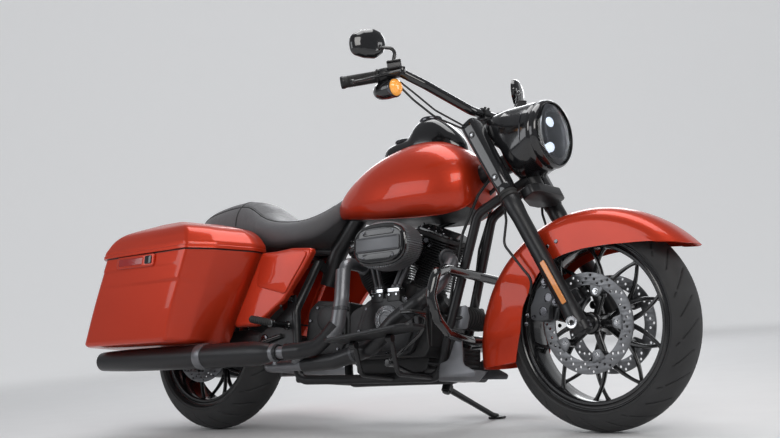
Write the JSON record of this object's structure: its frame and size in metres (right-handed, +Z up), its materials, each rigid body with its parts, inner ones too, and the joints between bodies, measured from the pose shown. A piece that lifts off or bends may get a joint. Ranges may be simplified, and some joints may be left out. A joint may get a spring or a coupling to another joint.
{
  "type": "touring cruiser motorcycle",
  "caption": "Touring motorcycle on its side stand: spoked cast wheels, open V engine, lidded hard saddlebags, headlamp nacelle, turning fork and wheels.",
  "frame": {"origin": "middle of the footprint's box, on the floor", "axes": "+X forward, +Y to the rider's left, +Z up; the machine leans 8 degrees to its left about X, on its side stand"},
  "size_m": [2.3804, 1.0372, 1.3196],
  "materials": {
    "paint": "metallic gloss",
    "tyre": "matte",
    "wheel_black": "satin",
    "disc_steel": "brushed",
    "frame_black": "gloss",
    "engine_black": "satin powder coat",
    "gloss_black": "gloss",
    "satin_black": "satin",
    "cooler_black": "satin",
    "belt_rubber": "matte",
    "leather": "matte",
    "lamp_glass": "clear",
    "amber": "gloss",
    "red_lens": "gloss"
  },
  "bodies": {
    "chassis": {"air_cleaner": "satin_black", "air_cleaner_cover": "gloss_black", "bag_rails": "frame_black", "cam_cover": "engine_black", "chin_cover": "satin_black", "crankcase": "engine_black", "cylinders": "engine_black", "drive_belt": "belt_rubber", "engine_guard": "frame_black", "exhaust_pipes": "satin_black", "foot_levers": "satin_black", "footboards": "belt_rubber", "frame": "frame_black", "fuel_tank": "paint", "gearbox": "engine_black", "horn": "gloss_black", "mufflers": "satin_black", "oil_cooler": "cooler_black", "passenger_pegs": "belt_rubber", "plate_bracket": "satin_black", "primary_cover": "engine_black", "pushrod_tubes": "satin_black", "rear_axle": "disc_steel", "rear_caliper": "satin_black", "rear_fender": "paint", "rear_shocks": "satin_black", "rear_signals": "amber", "rectifier": "cooler_black", "rocker_covers": "engine_black", "saddlebags": "paint", "seat": "leather", "side_covers": "paint", "swingarm": "frame_black", "tail_lamp": "red_lens", "tank_console": "gloss_black"},
    "front_end": {"fork_legs": "satin_black", "fork_covers": "gloss_black", "triple_clamps": "frame_black", "nacelle": "gloss_black", "headlamp": "lamp_glass", "handlebar": "frame_black", "grips": "belt_rubber", "bar_controls": "gloss_black", "front_signals": "amber", "mirrors": "gloss_black", "front_fender": "paint", "front_calipers": "satin_black", "front_axle": "disc_steel"},
    "front_wheel": {"front_tyre": "tyre", "front_rim": "wheel_black", "front_discs": "disc_steel"},
    "rear_wheel": {"rear_tyre": "tyre", "rear_rim": "wheel_black", "rear_disc": "disc_steel", "rear_pulley": "satin_black"},
    "side_stand": {"side_stand": "frame_black"},
    "bag_lid_right": {"bag_lid_right": "paint"},
    "bag_lid_left": {"bag_lid_left": "paint"}
  },
  "joints": [
    {"name": "steering", "type": "hinge", "parent": "chassis", "child": "front_end", "pos_m": [0.62025, -0.027, 0.84173], "axis": [-0.4384, 0.1251, 0.89], "range_deg": [-24, 38]},
    {"name": "front_wheel_spin", "type": "hinge", "parent": "front_end", "child": "front_wheel", "pos_m": [0.8649, -0.09913, 0.31808], "axis": [0.1095, 0.9903, -0.0852], "continuous": true},
    {"name": "rear_wheel_spin", "type": "hinge", "parent": "chassis", "child": "rear_wheel", "pos_m": [-0.76018, -0.09952, 0.3257], "axis": [0, 0.9903, -0.1392], "continuous": true},
    {"name": "side_stand_fold", "type": "hinge", "parent": "chassis", "child": "side_stand", "pos_m": [0.24782, -0.02029, 0.12785], "axis": [0.0385, 0.5311, 0.8464], "range_deg": [0, 98.47]},
    {"name": "bag_lid_right_hinge", "type": "hinge", "parent": "chassis", "child": "bag_lid_right", "pos_m": [-0.75018, -0.48907, 0.68668], "axis": [1, 0, 0], "range_deg": [0, 75]},
    {"name": "bag_lid_left_hinge", "type": "hinge", "parent": "chassis", "child": "bag_lid_left", "pos_m": [-0.75018, 0.37444, 0.56532], "axis": [-1, 0, 0], "range_deg": [0, 75]}
  ]
}
